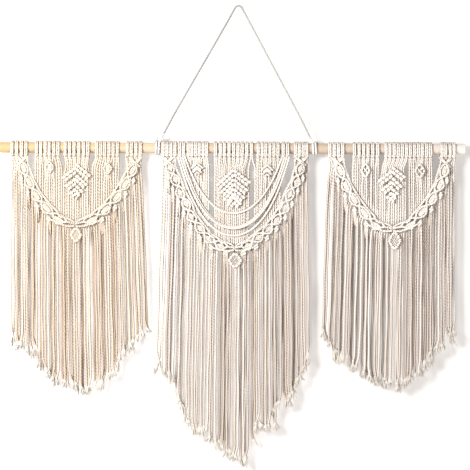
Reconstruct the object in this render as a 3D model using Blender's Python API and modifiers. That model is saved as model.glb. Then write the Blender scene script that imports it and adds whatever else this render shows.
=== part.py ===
"""Three-panel macrame wall hanging on a wooden dowel, slung from one cord.

Metres, +Z up. The origin is the underside of the sling's top bend, where a hook or nail bears.
+X runs along the dowel, to the right as the viewer faces it, and -Y is the front.
"""

from math import acosh, cos, cosh, pi, radians, sin

import bmesh
import bpy
from mathutils import Vector

MM = 0.001

# Driving sizes.
CORD = 4.0 * MM  # thickness of the cotton cord
GAP = 0.3 * MM  # clearance between pieces that touch
ROD_RADIUS = 10.0 * MM
WRAP_BORE = ROD_RADIUS + 0.5 * MM  # to the corners of the faceted bores round the dowel
ROD_DROP = 270.0 * MM  # hang point down to the dowel's axis
ROD_LEFT = -458.0 * MM
ROD_RIGHT = 431.5 * MM
ROD_SIDES = 32
ROD_EDGE = 0.8 * MM  # rounding of the dowel's cut ends

# Depths, all in front of the dowel's axis, so negative Y.
STRAND_BACK = -5.0 * MM
STRAND_FRONT = STRAND_BACK - CORD
KNOT_BACK = STRAND_FRONT - GAP
KNOT_FRONT = KNOT_BACK - 7.2 * MM
MOTIF_FRONT = KNOT_BACK - 6.0 * MM  # the small motifs and pendants are a little flatter
SWAG_DEPTH = KNOT_BACK - CORD / 2 - 0.1 * MM
KNOT_CHAMFER = 1.5 * MM

# A heading is a row of lark's head knots: a sleeve on the dowel with the knots' bar at its lower front.
HEADING_SIDES = 16
HEADING_RADIUS = ROD_RADIUS + CORD + GAP
BAR_RADIUS = 18.0 * MM
BAR_CORNER = 9  # which corner of the sleeve, counted from its top towards the back, carries the bar
BAR_ANGLE = 2 * pi * (BAR_CORNER + 0.5) / HEADING_SIDES
STRAND_TOP = -BAR_RADIUS * cos(BAR_ANGLE) + GAP  # below the dowel's axis, just under the knots' bars
SPINE = 9.0 * MM  # height of the uncut edge that joins the strands under the heading

# The sling and the two lashings that tie it to the dowel.
LASHING_TURNS = 2
LASHING_PITCH = 7.6 * MM
LASHINGS = {"left": -153.8 * MM, "right": 146.4 * MM}
LASHING_SIDES = 20
LASHING_RIDGE = [(0.10, 0.55), (0.30, 1.0), (0.70, 1.0), (0.90, 0.55)]  # share of the pitch, cords high
SLING_STEP = 10.0 * MM
SLING_KNOT = {"x": -148.5 * MM, "length": 15.0 * MM, "height": 8.6 * MM}

# The sling's centreline, left foot to right foot, in mm: x, z.
SLING_ROUTE = [
    (-145.5, -246.2),
    (-122.0, -208.2),
    (-98.0, -167.1),
    (-74.0, -125.9),
    (-50.0, -84.6),
    (-26.0, -43.4),
    (-9.0, -13.9),
    (-3.6, -4.2),
    (-2.1, 0.4),
    (0.0, 2.0),
    (2.1, 0.4),
    (3.6, -4.4),
    (9.0, -14.2),
    (26.0, -45.0),
    (49.0, -86.7),
    (72.0, -128.4),
    (95.0, -170.1),
    (118.0, -211.8),
    (141.5, -254.1),
]

# Each panel's sizes are in mm. x is from the panel's own middle, and a drop is below the dowel's axis.
# headings: left and right end of each run of lark's heads
# band: x and drop of the middle of each diamond, heading to tip, for the left and right arm
# band_tip: drop where the two arms meet
# leaf: apex and foot as x, drop, then the end of each double row on the left and on the right
# motifs: x, drop, half width, half height, and the opening's half width and half height (0 for none)
# pendant: x, drop, half width, half height of the diamond under the band
# windows: left, right, top drop, bottom drop of the gaps in the strands above the band
# slots: x at the heading and width of the gaps that part the fringe into bunches
# hem: x and drop of the fringe's uneven lower edge
PANELS = {
    "left": {
        "middle": -307.8,
        "headings": [(-125.0, -89.0), (-78.0, -29.0), (-24.0, 28.0), (36.0, 83.0), (94.0, 127.0)],
        "band": {
            "left": [(-97, 40), (-87, 66), (-73, 92), (-54, 114), (-32, 135)],
            "right": [(107, 43), (94, 69), (78, 93), (56, 118), (32, 135)],
        },
        "band_tip": 143,
        "leaf": {
            "apex": (2, 31),
            "foot": (2, 99),
            "left": [(-23, 55), (-19, 72), (-12, 88)],
            "right": [(29, 55), (22, 70), (14, 86)],
        },
        "motifs": {"left": (-49, 38, 8.5, 10.7, 3.6, 5.4), "right": (61, 40, 8.5, 10.7, 3.6, 5.4)},
        "pendant": (2, 166, 10.5, 14.5),
        "windows": [(-88.5, -78.5, 24, 70), (84, 93.5, 24, 72)],
        "slots": [
            (-107, 2.5), (-89, 3.0), (-70, 2.5), (-52, 2.5), (-33, 3.5), (-13, 2.5),
            (6, 2.5), (25, 3.5), (45, 2.5), (65, 2.5), (86, 3.0), (106, 2.5),
        ],
        "hem": [
            (-125, 357), (-118, 385), (-78, 394), (-72, 418), (-50, 439), (-21, 459),
            (17, 471), (45, 461), (79, 431), (93, 394), (114, 376), (142, 347),
        ],
    },
    "centre": {
        "middle": -5.3,
        "headings": [
            (-140.0, -110.0), (-108.8, -93.8), (-92.6, -50.0), (-41.0, 35.0),
            (40.0, 85.0), (87.6, 103.4), (111.0, 140.0),
        ],
        "band": {
            "left": [
                (-122, 38), (-112, 60), (-103, 85), (-91, 106),
                (-82, 130), (-65, 152), (-50, 171), (-26, 185),
            ],
            "right": [
                (122, 39), (115, 64), (103, 87), (94, 113),
                (78, 136), (63, 153), (44, 169), (24, 184),
            ],
        },
        "band_tip": 190,
        "leaf": {
            "apex": (-2, 40),
            "foot": (-2, 119.5),
            "left": [(-33, 71), (-29, 87), (-21, 101), (-15, 111)],
            "right": [(29, 69), (25, 84), (17, 100), (11, 111)],
        },
        "motifs": {"left": (-71.5, 40, 10.5, 11.5, 0, 0), "right": (61, 43, 10.5, 11.5, 0, 0)},
        "pendant": (1, 213, 12.5, 14.5),
        "windows": [
            (-102, -94, 24, 78), (-48, -40, 24, 158), (28, 36, 24, 168), (88, 97, 24, 84),
        ],
        "slots": [
            (-121, 7.0), (-104, 2.5), (-87, 2.5), (-68, 3.0), (-50, 2.5), (-27, 8.0),
            (-8, 2.5), (12, 2.5), (32, 7.0), (51, 2.5), (69, 3.0), (88, 2.5), (106, 2.5), (123, 3.0),
        ],
        "hem": [
            (-152, 409), (-143, 428), (-113, 455), (-108, 485), (-90, 522), (-79, 553), (-52, 539),
            (-43, 568), (-26, 572), (-13, 587), (13, 601), (29, 597), (40, 539), (82, 536),
            (85, 494), (99, 490), (117, 460), (138, 421), (148, 386),
        ],
    },
    "right": {
        "middle": 293.9,
        "headings": [(-124.0, -91.0), (-77.0, -25.0), (-17.0, 75.0), (89.0, 119.0)],
        "band": {
            "left": [(-99, 42), (-88, 71), (-73, 96), (-52, 121), (-32, 141)],
            "right": [(96, 41), (88, 68), (73, 95), (54, 117), (32, 140)],
        },
        "band_tip": 148,
        "leaf": {
            "apex": (-1, 35),
            "foot": (1, 105),
            "left": [(-25, 59), (-21, 76), (-14, 92)],
            "right": [(25, 58), (20, 75), (14, 92)],
        },
        "motifs": {"left": (-52, 41, 8.5, 12.5, 3.4, 6.6), "right": (51, 42, 9.5, 13, 4.2, 6.8)},
        "pendant": (4, 174, 11.5, 17.5),
        "windows": [(-89, -78, 24, 76), (25, 30.5, 24, 122), (76, 87, 24, 68)],
        "slots": [
            (-106, 2.5), (-88, 3.0), (-70, 2.5), (-51, 2.5), (-32, 3.5), (-13, 2.5),
            (7, 2.5), (27, 4.0), (46, 2.5), (65, 2.5), (83, 3.0), (101, 2.5),
        ],
        "hem": [
            (-135, 345), (-125, 377), (-110, 404), (-73, 421), (-44, 446), (-5, 454),
            (13, 460), (28, 450), (51, 437), (73, 405), (82, 395), (104, 371), (121, 353),
        ],
    },
}

# Slots and windows in the strands, in mm.
SLOT_START = 4.0  # a slot starts this far below the band's middle
HEM_CLEAR = 3.0  # least distance from a slot to a corner of the hem or to a window
WINDOW_WIDTH = 2.0  # between two bunches above the band
WINDOW_CLEAR = 4.0  # from such a window's foot to the band's inner rim
LEAST_WINDOW = 20.0  # height of the shortest one
BUNCH = 19.0  # width of a bunch of strands
TIP_SHARE = 0.7  # points below this share of the shortest side belong to the tips

# How far each corner of the hem falls below its line in turn, in mm, so that no two bunches end level.
RAGGED = [0, 5, -4, 3, -6, 6, -2, 4, -5, 1]
# How far the tips of the bunches stand forward or back in turn, in mm.
TIP_SWAY = [0, -1.2, 0.8, 1.6, -0.6, -1.8, 1.0, 0.4, -1.0, 1.4]

# The four swags of the centre panel, in mm: x of the left and right end, drop of the lowest point,
# and how far the middle stands in front of the ends.
SWAG_TOP = STRAND_TOP / MM + 0.5  # their slanted ends reach up to the knots' bars
SWAGS = [
    {"left": -95.4, "right": 89.6, "low": 123.5, "forward": 0.0},
    {"left": -99.8, "right": 94.0, "low": 150.0, "forward": 0.0},
    {"left": -104.2, "right": 98.4, "low": 152.5, "forward": 4.4},
    {"left": -108.6, "right": 102.8, "low": 166.0, "forward": 0.0},
]
SWAG_STEP = 12.0

# Widths of the knotted band, in mm: to its smooth inner rim, and to the crest and the dip of its outer edge.
BAND_RIM = 7.6
BAND_CREST = 9.8
BAND_DIP = 6.2
BAND_START = 19.0  # drop of the band's first edge, under the heading's bars

# Each double row of a leaf ends in a lobe, in mm from its end: the lobe's top, foot and the nick under it.
LEAF_LOBE = {"top": -3.0, "foot": 2.5, "nick": 4.5, "nick_depth": 2.2}

# A knotted diamond's corners are cut short. Both are shares of its half width and half height.
CORNER_REACH = 0.97
CORNER_CUT = 0.14

# Colours and roughness.
PINE = ((0.80, 0.62, 0.40), 0.55)
COTTON = {
    "left": ((0.87, 0.80, 0.68), 0.95),
    "centre": ((0.88, 0.83, 0.76), 0.95),
    "right": ((0.86, 0.82, 0.77), 0.95),
}
SLING_COTTON = ((0.90, 0.88, 0.84), 0.9)


def clear_scene():
    for old in list(bpy.data.objects):
        bpy.data.objects.remove(old, do_unlink=True)


def add_object(name, data, colour):
    """Puts data in the hanging's collection as an object with its own material."""
    obj = bpy.data.objects.new(name, data)
    bpy.data.collections["macrame_wall_hanging"].objects.link(obj)
    rgb, roughness = colour
    material = bpy.data.materials.new(name)
    material.use_nodes = True
    shader = material.node_tree.nodes["Principled BSDF"]
    shader.inputs["Base Color"].default_value = (*rgb, 1.0)
    shader.inputs["Roughness"].default_value = roughness
    shader.inputs["Metallic"].default_value = 0.0
    data.materials.append(material)
    return obj


def flat_outline(name, loops, thickness, chamfer=0.0):
    """A flat plate from closed loops of (x, y), the first outside and the others holes."""
    curve = bpy.data.curves.new(name, "CURVE")
    curve.dimensions = "2D"
    curve.fill_mode = "BOTH"
    curve.extrude = thickness / 2 - chamfer
    curve.bevel_depth = chamfer
    curve.bevel_resolution = 0
    curve.offset = -chamfer
    for loop in loops:
        spline = curve.splines.new("POLY")
        spline.points.add(len(loop) - 1)
        for point, (x, y) in zip(spline.points, loop):
            point.co = (x, y, 0.0, 1.0)
        spline.use_cyclic_u = True
    return curve


def hang_plate(name, loops, front, back, colour, chamfer=0.0):
    """A plate that hangs in the XZ plane. Its loops are x and drop in metres from the dowel's axis."""
    upright = [[(x, -drop) for x, drop in loop] for loop in loops]
    obj = add_object(name, flat_outline(name, upright, back - front, chamfer), colour)
    obj.location = (0.0, (front + back) / 2, -ROD_DROP)
    obj.rotation_euler = (radians(90), 0.0, 0.0)
    return obj


def tube(name, points, colour):
    """A round cord through the points."""
    curve = bpy.data.curves.new(name, "CURVE")
    curve.dimensions = "3D"
    curve.bevel_depth = CORD / 2
    curve.bevel_resolution = 2
    curve.use_fill_caps = True
    spline = curve.splines.new("POLY")
    spline.points.add(len(points) - 1)
    for point, place in zip(spline.points, points):
        point.co = (*place, 1.0)
    return add_object(name, curve, colour)


def line_at(line, x):
    """The drop of a line of (x, drop) points at x, level past its ends."""
    if x <= line[0][0]:
        return line[0][1]
    for (x0, d0), (x1, d1) in zip(line, line[1:]):
        if x <= x1:
            return d0 + (d1 - d0) * (x - x0) / (x1 - x0)
    return line[-1][1]


def smooth_route(route, step):
    """Points a step apart on a smooth curve through the route's points."""
    places = [Vector(p) for p in route]
    ends = [2 * places[0] - places[1], *places, 2 * places[-1] - places[-2]]
    dense = []
    fine = 24
    for a, b, c, d in zip(ends, ends[1:], ends[2:], ends[3:]):
        for k in range(fine):
            t = k / fine
            dense.append(0.5 * (2 * b + t * (c - a) + t * t * (2 * a - 5 * b + 4 * c - d)
                                + t * t * t * (3 * b - a - 3 * c + d)))
    dense.append(places[-1])
    lengths = [0.0]
    for a, b in zip(dense, dense[1:]):
        lengths.append(lengths[-1] + (b - a).length)
    count = max(2, round(lengths[-1] / step))
    points = []
    k = 0
    for i in range(count + 1):
        want = lengths[-1] * i / count
        while k < len(dense) - 2 and lengths[k + 1] < want:
            k += 1
        share = (want - lengths[k]) / (lengths[k + 1] - lengths[k])
        points.append(dense[k].lerp(dense[k + 1], min(1.0, share)))
    return points


def make_rod():
    mesh = bpy.data.meshes.new("rod")
    shape = bmesh.new()
    bmesh.ops.create_cone(
        shape, cap_ends=True, segments=ROD_SIDES,
        radius1=ROD_RADIUS, radius2=ROD_RADIUS, depth=ROD_RIGHT - ROD_LEFT,
    )
    shape.to_mesh(mesh)
    shape.free()
    mesh.shade_smooth()
    mesh.set_sharp_from_angle(angle=radians(40))
    rod = add_object("rod", mesh, PINE)
    rod.location = ((ROD_LEFT + ROD_RIGHT) / 2, 0.0, -ROD_DROP)
    rod.rotation_euler = (0.0, radians(90), 0.0)
    edge = rod.modifiers.new("worn ends", "BEVEL")
    edge.width = ROD_EDGE
    edge.segments = 2
    edge.limit_method = "ANGLE"
    edge.angle_limit = radians(40)


def make_heading(name, left, right, colour):
    """A run of lark's heads: a sleeve along X with the knots' bar as a raised corner at its lower front."""
    outer = []
    bore = []
    for i in range(HEADING_SIDES):
        angle = pi / 2 - 2 * pi * (i + 0.5) / HEADING_SIDES
        radius = BAR_RADIUS if i == BAR_CORNER else HEADING_RADIUS
        outer.append((radius * cos(angle), radius * sin(angle)))
        bore.append((WRAP_BORE * cos(angle), WRAP_BORE * sin(angle)))
    obj = add_object(name, flat_outline(name, [outer, bore], right - left), colour)
    obj.location = ((left + right) / 2, 0.0, -ROD_DROP)
    obj.rotation_euler = (radians(90), 0.0, radians(90))


def foot_of(panel, x):
    """Where a strand that leaves the heading at x meets the hem, in mm."""
    hem = panel["hem"]
    left, right = panel["headings"][0][0], panel["headings"][-1][1]
    return hem[0][0] + (x - left) / (right - left) * (hem[-1][0] - hem[0][0])


def spread(panel, x, drop):
    """Where a strand that leaves the heading at x has got to at this drop, in mm."""
    foot = foot_of(panel, x)
    top = (STRAND_TOP + SPINE) / MM
    fall = (drop - top) / (line_at(panel["hem"], foot) - top)
    return x + (foot - x) * fall


def band_line(panel):
    """The middle of the knotted band from its left end to its right end, as (x, drop) in mm."""
    return [*panel["band"]["left"], (0, panel["band_tip"]), *panel["band"]["right"][::-1]]


def strand_outline(panel):
    """The outer edge of a panel's strands, with the slots that part the fringe, as (x, drop) in mm."""
    hem = panel["hem"]
    band = band_line(panel)
    spine = (STRAND_TOP + SPINE) / MM
    feet = [foot_of(panel, x) for x, _ in panel["slots"]]
    corners = [(panel["headings"][0][0], STRAND_TOP / MM), hem[0]]
    for i, (x, width) in enumerate(panel["slots"]):
        start = line_at(band, x) + SLOT_START if band[0][0] < x < band[-1][0] else spine
        end = spread(panel, x, start)
        for side in (-1, 1):
            edge = feet[i] + side * width / 2
            at_hem = (edge, line_at(hem, edge) + RAGGED[(2 * i + side) % len(RAGGED)])
            at_slot = (end + side * width / 2, start)
            corners += [at_hem, at_slot][::-side]
        next_foot = feet[i + 1] if i + 1 < len(feet) else hem[-1][0]
        clear = (feet[i] + HEM_CLEAR, next_foot - HEM_CLEAR)
        corners += [corner for corner in hem[1:-1] if clear[0] < corner[0] < clear[1]]
    return [*corners, hem[-1], (panel["headings"][-1][1], STRAND_TOP / MM)]


def strand_windows(panel):
    """The gaps above the band: the wide ones, and a narrow one between bunches in line with each slot."""
    spine = (STRAND_TOP + SPINE) / MM
    band = band_line(panel)
    gaps = [[(a, top), (a, foot), (b, foot), (b, top)] for a, b, top, foot in panel["windows"]]
    for x, _ in panel["slots"]:
        foot = line_at(band, x) - BAND_RIM - WINDOW_CLEAR
        inside = band[0][0] < x < band[-1][0] and foot > spine + LEAST_WINDOW
        clear = all(x < a - HEM_CLEAR or x > b + HEM_CLEAR for a, b, _, _ in panel["windows"])
        if inside and clear:
            end = spread(panel, x, foot)
            half = WINDOW_WIDTH / 2
            gaps.append([(x - half, spine), (end - half, foot), (end + half, foot), (x + half, spine)])
    return gaps


def make_strands(name, panel, colour):
    """The hanging strands of one panel: one comb, joined under the heading and parted into bunches below."""
    loops = [strand_outline(panel), *strand_windows(panel)]
    loops = [[((panel["middle"] + x) * MM, drop * MM) for x, drop in loop] for loop in loops]
    plate = hang_plate("flat_strands", loops, STRAND_FRONT, STRAND_BACK, colour)
    mesh = bpy.data.meshes.new_from_object(plate.evaluated_get(bpy.context.evaluated_depsgraph_get()))
    shape = bmesh.new()
    shape.from_mesh(mesh)
    bmesh.ops.remove_doubles(shape, verts=shape.verts, dist=0.01 * MM)
    bmesh.ops.recalc_face_normals(shape, faces=shape.faces)
    tips_from = panel["hem"][0][1] * TIP_SHARE * MM
    for vertex in shape.verts:
        if -vertex.co.y > tips_from:
            bunch = int((vertex.co.x - ROD_LEFT) / (BUNCH * MM))
            vertex.co.z += TIP_SWAY[bunch % len(TIP_SWAY)] * MM
    shape.to_mesh(mesh)
    shape.free()
    mesh.materials.clear()
    comb = add_object(name, mesh, colour)
    comb.location = plate.location
    comb.rotation_euler = plate.rotation_euler
    bpy.data.objects.remove(plate, do_unlink=True)


def arm_outline(side, rows, tip):
    """One arm of the knotted band: smooth on its inner rim, and scalloped at each diamond outside."""
    sign = -1 if side == "left" else 1
    line = [Vector(row) for row in rows] + [Vector((0, tip))]
    ahead = line[0] + 0.5 * (line[0] - line[1])
    line.insert(0, Vector((ahead.x, BAND_START)))
    inner, outer = [], []
    for k in range(1, len(line) - 1):
        along = (line[k + 1] - line[k - 1]).normalized()
        out = Vector((-along.y, along.x)) if sign < 0 else Vector((along.y, -along.x))
        outer.append(line[k] + out * BAND_CREST)
        inner.append(line[k] - out * BAND_RIM)
        if k < len(line) - 2:
            middle = (line[k] + line[k + 1]) / 2
            outer.append(middle + out * BAND_DIP)
    first = line[0]
    start = [first + Vector((-sign * BAND_DIP, 0)), first + Vector((sign * BAND_DIP, 0))]
    edge = sign * GAP / MM / 2
    finish = [Vector((edge, tip + BAND_RIM)), Vector((edge, tip - BAND_RIM))]
    return [start[0], start[1], *outer, *finish, *reversed(inner)]


def make_band(name, side, rows, panel, colour):
    outline = arm_outline(side, rows, panel["band_tip"])
    loop = [((panel["middle"] + point.x) * MM, point.y * MM) for point in outline]
    hang_plate(name, [loop], KNOT_FRONT, KNOT_BACK, colour, KNOT_CHAMFER)


def make_leaf(name, panel, colour):
    """Rows of knots that fall from a midrib to both sides, each double row ending in its own lobe."""
    leaf = panel["leaf"]

    def side_points(ends):
        points = []
        for x, drop in ends:
            nick = x - LEAF_LOBE["nick_depth"] * (1 if x > 0 else -1)
            points.append((x, drop + LEAF_LOBE["top"]))
            points.append((x, drop + LEAF_LOBE["foot"]))
            points.append((nick, drop + LEAF_LOBE["nick"]))
        return points[:-1]

    left = reversed(side_points(leaf["left"]))
    outline = [leaf["apex"], *side_points(leaf["right"]), leaf["foot"], *left]
    loop = [((panel["middle"] + x) * MM, drop * MM) for x, drop in outline]
    hang_plate(name, [loop], KNOT_FRONT, KNOT_BACK, colour, KNOT_CHAMFER)


def diamond(x, drop, half_width, half_height):
    """A diamond with its four corners cut short, as a loop of x and drop in metres."""
    far, cut = CORNER_REACH, CORNER_CUT
    corners = [
        (-cut, -far), (cut, -far), (far, -cut), (far, cut),
        (cut, far), (-cut, far), (-far, cut), (-far, -cut),
    ]
    return [((x + right * half_width) * MM, (drop + down * half_height) * MM) for right, down in corners]


def make_diamond(name, middle, sizes, colour):
    """A knotted diamond, open in the middle where the sizes say so."""
    x, drop, half_width, half_height, open_width, open_height = sizes
    loops = [diamond(middle + x, drop, half_width, half_height)]
    if open_width:
        loops.append(diamond(middle + x, drop, open_width, open_height))
    hang_plate(name, loops, MOTIF_FRONT, KNOT_BACK, colour, KNOT_CHAMFER / 2)


def catenary_scale(half_span, sag):
    """The catenary's scale for a cord that spans twice half_span and falls by sag, by halving."""
    low, high = half_span / 20, half_span * 50
    for _ in range(60):
        middle = (low + high) / 2
        if middle * (cosh(half_span / middle) - 1) > sag:
            low = middle
        else:
            high = middle
    return middle


def make_swag(name, swag, middle, colour):
    """A cord that hangs free between two lark's heads in the curve of its own weight."""
    centre = middle + (swag["left"] + swag["right"]) / 2
    half_span = (swag["right"] - swag["left"]) / 2
    sag = swag["low"] - SWAG_TOP
    scale = catenary_scale(half_span, sag)
    half_length = (sag * sag + 2 * sag * scale) ** 0.5
    count = 2 * round(half_length / SWAG_STEP)
    points = []
    for i in range(count + 1):
        along = half_length * (2 * i / count - 1)
        height = (scale * scale + along * along) ** 0.5 - scale
        x = scale * acosh(1 + height / scale) * (1 if along > 0 else -1)
        forward = swag["forward"] * max(0.0, cos(pi / 2 * x / half_span)) ** 0.5
        drop = swag["low"] - height
        points.append(((centre + x) * MM, SWAG_DEPTH - forward * MM, -ROD_DROP - drop * MM))
    tube(name, points, colour)


def make_lashing(name, x, colour):
    """The sling's turns round the dowel: one turned ring with a ridge for each turn."""
    profile = [(WRAP_BORE, 0.0)]
    for turn in range(LASHING_TURNS):
        for along, height in LASHING_RIDGE:
            profile.append((WRAP_BORE + height * CORD, (turn + along) * LASHING_PITCH))
    profile.append((WRAP_BORE, LASHING_TURNS * LASHING_PITCH))
    mesh = bpy.data.meshes.new(name)
    shape = bmesh.new()
    rim = [shape.verts.new((r, 0.0, z)) for r, z in reversed(profile)]
    for a, b in zip(rim, rim[1:] + rim[:1]):
        shape.edges.new((a, b))
    shape.to_mesh(mesh)
    shape.free()
    ring = add_object(name, mesh, colour)
    ring.location = (x - LASHING_TURNS * LASHING_PITCH / 2, 0.0, -ROD_DROP)
    ring.rotation_euler = (0.0, radians(90), 0.0)
    turned = ring.modifiers.new("turned", "SCREW")
    turned.steps = LASHING_SIDES
    turned.render_steps = LASHING_SIDES
    turned.use_merge_vertices = True
    turned.merge_threshold = 0.01 * MM


def make_sling(colour):
    route = [(x * MM, 0.0, z * MM) for x, z in SLING_ROUTE]
    tube("hanging_cord", smooth_route(route, SLING_STEP), colour)
    for side, x in LASHINGS.items():
        make_lashing("lashing_" + side, x, colour)
    mesh = bpy.data.meshes.new("sling_knot")
    shape = bmesh.new()
    bmesh.ops.create_uvsphere(shape, u_segments=16, v_segments=8, radius=0.5)
    sizes = (SLING_KNOT["length"], SLING_KNOT["height"], SLING_KNOT["height"])
    bmesh.ops.scale(shape, vec=sizes, verts=shape.verts)
    shape.to_mesh(mesh)
    shape.free()
    mesh.shade_smooth()
    knot = add_object("sling_knot", mesh, colour)
    seat = WRAP_BORE + CORD + GAP
    knot.location = (SLING_KNOT["x"], 0.0, -ROD_DROP + seat + SLING_KNOT["height"] / 2)


def make_panel(side, panel):
    colour = COTTON[side]
    middle = panel["middle"]
    for i, (left, right) in enumerate(panel["headings"], 1):
        make_heading(f"heading_{side}_{i}", (middle + left) * MM, (middle + right) * MM, colour)
    make_strands("strands_" + side, panel, colour)
    for arm, rows in panel["band"].items():
        make_band(f"band_{side}_{arm}", arm, rows, panel, colour)
    make_leaf("leaf_" + side, panel, colour)
    for place, sizes in panel["motifs"].items():
        make_diamond(f"motif_{side}_{place}", middle, sizes, colour)
    make_diamond("pendant_" + side, middle, (*panel["pendant"], 0, 0), colour)


def main():
    clear_scene()
    pieces = bpy.data.collections.new("macrame_wall_hanging")
    bpy.context.scene.collection.children.link(pieces)
    make_rod()
    make_sling(SLING_COTTON)
    for side, panel in PANELS.items():
        make_panel(side, panel)
    for i, swag in enumerate(SWAGS, 1):
        make_swag(f"swag_{i}", swag, PANELS["centre"]["middle"], COTTON["centre"])


main()
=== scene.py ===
import math

import bpy
import numpy as np
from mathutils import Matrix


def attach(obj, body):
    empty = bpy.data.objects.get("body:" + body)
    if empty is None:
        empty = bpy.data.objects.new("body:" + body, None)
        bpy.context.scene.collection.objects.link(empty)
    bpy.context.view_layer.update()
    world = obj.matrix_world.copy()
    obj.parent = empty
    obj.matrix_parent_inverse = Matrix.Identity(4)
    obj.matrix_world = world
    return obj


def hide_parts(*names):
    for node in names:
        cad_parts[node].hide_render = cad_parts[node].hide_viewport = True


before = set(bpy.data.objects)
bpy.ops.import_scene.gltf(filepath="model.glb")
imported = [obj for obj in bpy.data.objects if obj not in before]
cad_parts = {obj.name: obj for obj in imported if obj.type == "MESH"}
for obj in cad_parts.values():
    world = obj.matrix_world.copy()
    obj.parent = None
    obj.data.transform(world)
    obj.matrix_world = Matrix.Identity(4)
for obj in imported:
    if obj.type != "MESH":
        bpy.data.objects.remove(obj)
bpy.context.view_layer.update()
print("frame loaded:", len(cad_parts), "nodes")

# Shapes are worked out in mm: x to the right, y away from the viewer, z up.
# A panel's own places are x from its middle and drop below the dowel's axis.
mm = 0.001
front = np.array([0.0, -1.0, 0.0])
downward = np.array([0.0, 0.0, -1.0])


shot = {
    "distance": 4.0,  # m in front of the dowel
    "width": 0.893,  # m across the picture at the dowel
    "aim": (-0.0048, -0.4349),  # x and z of the picture's middle
    "roll": -0.26,  # degrees, the dowel falls a little to the right
}


def linked(name, data):
    made = bpy.data.objects.new(name, data)
    bpy.context.scene.collection.objects.link(made)
    return made


def placeCamera(s):
    data = bpy.data.cameras.new("camera")
    data.sensor_width = 36.0
    data.lens = data.sensor_width * s["distance"] / s["width"]
    camera = linked("camera", data)
    camera.location = (s["aim"][0], -s["distance"], s["aim"][1])
    camera.rotation_euler = (math.radians(90), math.radians(s["roll"]), 0.0)
    bpy.context.scene.camera = camera


placeCamera(shot)


class Wire:
    # a socket in a material; sums and products of wires add Math nodes
    def __init__(self, finish, socket):
        self.finish = finish
        self.socket = socket

    def math(self, operation, *values):
        sockets = dict(enumerate(values))
        return self.finish.node("ShaderNodeMath", {"operation": operation}, sockets)

    def cos(self):
        return self.math("COSINE", self)

    def clamped(self):
        return self.finish.node("ShaderNodeClamp", {}, {"Value": self})


for sign, operation in {"add": "ADD", "sub": "SUBTRACT", "mul": "MULTIPLY", "pow": "POWER"}.items():
    setattr(Wire, f"__{sign}__", lambda a, b, kind=operation: a.math(kind, a, b))
    setattr(Wire, f"__r{sign}__", lambda a, b, kind=operation: a.math(kind, b, a))


class Finish:
    # a material whose constant values sit on the shader's own sockets
    def __init__(self, name, constants):
        self.material = bpy.data.materials.new(name)
        self.material.use_nodes = True
        self.tree = self.material.node_tree
        self.shader = self.tree.nodes["Principled BSDF"]
        for socket, value in constants.items():
            self.shader.inputs[socket].default_value = value

    def node(self, kind, settings, sockets, output=0):
        made = self.tree.nodes.new(kind)
        for key, value in settings.items():
            if key == "stops":
                self.setStops(made.color_ramp, value)
            else:
                setattr(made, key, value)
        for key, value in sockets.items():
            self.plug(value, made.inputs[key])
        return Wire(self, made.outputs[output])

    def setStops(self, ramp, stops):
        while len(ramp.elements) < len(stops):
            ramp.elements.new(0.5)
        for element, (place, colour) in zip(ramp.elements, stops):
            element.position = place
            element.color = (*colour, 1.0)

    def plug(self, value, socket):
        if isinstance(value, Wire):
            self.tree.links.new(value.socket, socket)
        else:
            socket.default_value = value

    def blend(self, factor, first, second):
        # a Mix node's colour sockets are 6 and 7, and its colour output is 2
        first, second = [(*c, 1.0) if isinstance(c, tuple) else c for c in (first, second)]
        sockets = {0: factor, 6: first, 7: second}
        return self.node("ShaderNodeMix", {"data_type": "RGBA"}, sockets, output=2)

    def noise(self, vector, scale, detail=2.0, roughness=0.5):
        sockets = {"Vector": vector, "Scale": scale, "Detail": detail, "Roughness": roughness}
        return self.node("ShaderNodeTexNoise", {}, sockets)

    def place(self):
        return self.node("ShaderNodeTexCoord", {}, {}, output=3)

    def part(self, vector, axis=0):
        return self.node("ShaderNodeSeparateXYZ", {}, {0: vector}, output=axis)

    def stretched(self, vector, scale):
        return self.node("ShaderNodeVectorMath", {"operation": "MULTIPLY"}, {0: vector, 1: scale})

    def bump(self, height, distance, strength=1.0):
        sockets = {"Height": height, "Distance": distance, "Strength": strength}
        self.plug(self.node("ShaderNodeBump", {}, sockets), self.shader.inputs["Normal"])


# deep is the colour that painted shade and darker tones blend towards; shade is how much painted shade a
# cotton takes
# each panel's cotton has its own tint, and partly painted light and shade: the left's is darker and the
# right's lighter, evening out the key lamp that lights the left most
cotton = {
    "left": {"light": (0.705, 0.65, 0.56), "deep": (0.34, 0.19, 0.095), "shade": 1.0},
    "centre": {"light": (0.77, 0.73, 0.68), "deep": (0.30, 0.20, 0.13), "shade": 1.0},
    "right": {"light": (0.87, 0.825, 0.775), "deep": (0.29, 0.20, 0.14), "shade": 0.95},
    "sling": {"light": (0.80, 0.79, 0.785), "deep": (0.17, 0.165, 0.16), "shade": 1.0},
    "frayed": {"light": (0.79, 0.755, 0.70), "deep": (0.34, 0.26, 0.19), "shade": 0.8},
}
cottonGrain = {
    "valley": (0.22, 2.5),  # how dark the painted shade in the valleys between plies is, and how narrow they are
    "edge": (0.6, 1.8),  # the same painted shade where a cord turns away to its neighbours
    "dark": (1.5, 0.5),  # a dark cord takes more of both painted shades
    "tone": 0.30,  # how far its own tone shifts a cord's colour
    "hairs": (0.30, (2.2, 0.16, 1.0)),  # how far hairs along the plies do, and their scale
    "patches": (0.25, 26.0),  # the same for slow changes, per m
    "fuzz": 1040.0,  # per m
    "lift": 0.05,  # everything a little lighter
    "bump": 0.0006,  # m
    "bumpHairs": 0.45,
    "bumpFuzz": 0.25,
}


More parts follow.
